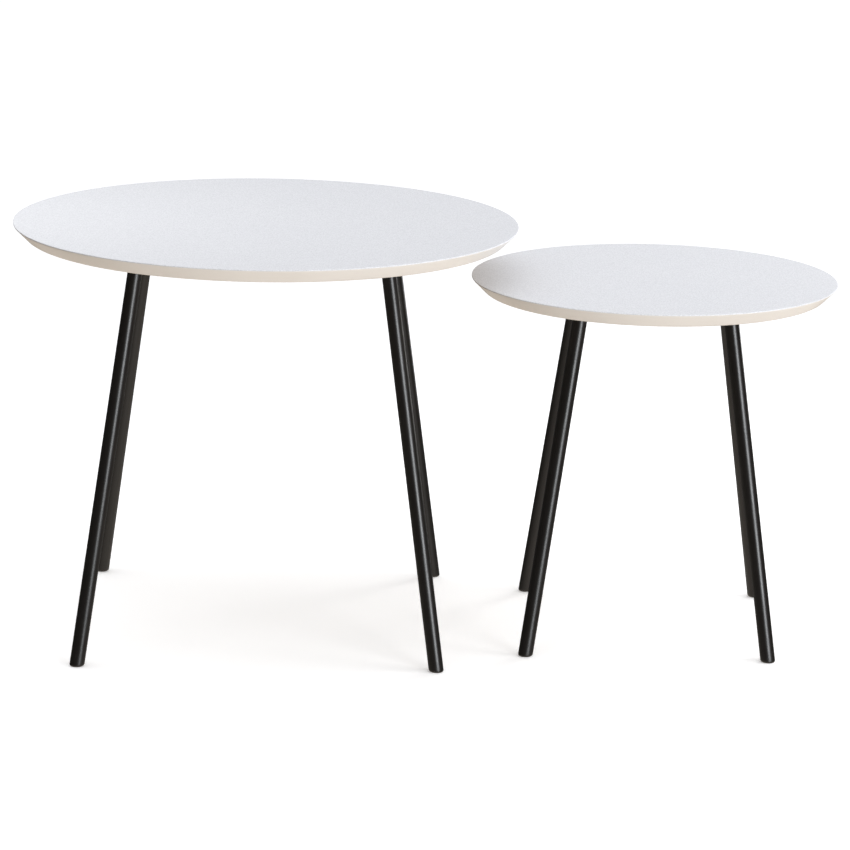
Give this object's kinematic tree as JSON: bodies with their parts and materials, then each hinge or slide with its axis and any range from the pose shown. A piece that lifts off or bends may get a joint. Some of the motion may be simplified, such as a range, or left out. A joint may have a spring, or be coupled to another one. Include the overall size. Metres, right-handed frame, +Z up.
{
  "type": "nesting tables",
  "caption": "Round nesting side tables with white bevelled tops on slim splayed black tube legs; the lower table slides in under the taller one.",
  "frame": {"origin": "on the floor, at the middle of the box round both tables", "axes": "+Z up; the tables stand in a row along X with the small one at +X; the front is towards -Y"},
  "size_m": [0.9, 0.55, 0.45],
  "materials": {
    "white_laminate": "satin high-pressure laminate, cool white, fine pebble texture",
    "cream_lacquer": "fibreboard lacquered cream all over, satin",
    "black_steel": "satin black powder coat",
    "black_plastic": "moulded black plastic, satin",
    "zinc_steel": "bright zinc plating"
  },
  "bodies": {
    "large_table": {"large_top_laminate": "white_laminate", "large_top_panel": "cream_lacquer", "large_threaded_inserts": "zinc_steel", "large_plate_screws": "zinc_steel", "large_leg_plate_back_right": "black_steel", "large_leg_back_right": "black_steel", "large_foot_plug_back_right": "black_plastic", "large_leg_plate_back_left": "black_steel", "large_leg_back_left": "black_steel", "large_foot_plug_back_left": "black_plastic", "large_leg_plate_front_left": "black_steel", "large_leg_front_left": "black_steel", "large_foot_plug_front_left": "black_plastic", "large_leg_plate_front_right": "black_steel", "large_leg_front_right": "black_steel", "large_foot_plug_front_right": "black_plastic"},
    "small_table": {"small_top_laminate": "white_laminate", "small_top_panel": "cream_lacquer", "small_threaded_inserts": "zinc_steel", "small_plate_screws": "zinc_steel", "small_leg_plate_back_right": "black_steel", "small_leg_back_right": "black_steel", "small_foot_plug_back_right": "black_plastic", "small_leg_plate_back_left": "black_steel", "small_leg_back_left": "black_steel", "small_foot_plug_back_left": "black_plastic", "small_leg_plate_front_left": "black_steel", "small_leg_front_left": "black_steel", "small_foot_plug_front_left": "black_plastic", "small_leg_plate_front_right": "black_steel", "small_leg_front_right": "black_steel", "small_foot_plug_front_right": "black_plastic"}
  },
  "joints": [
    {"name": "nest_slide", "type": "slide", "parent": "large_table", "child": "small_table", "axis": [-1, 0, 0], "range_m": [-0.075, 0.128]}
  ]
}
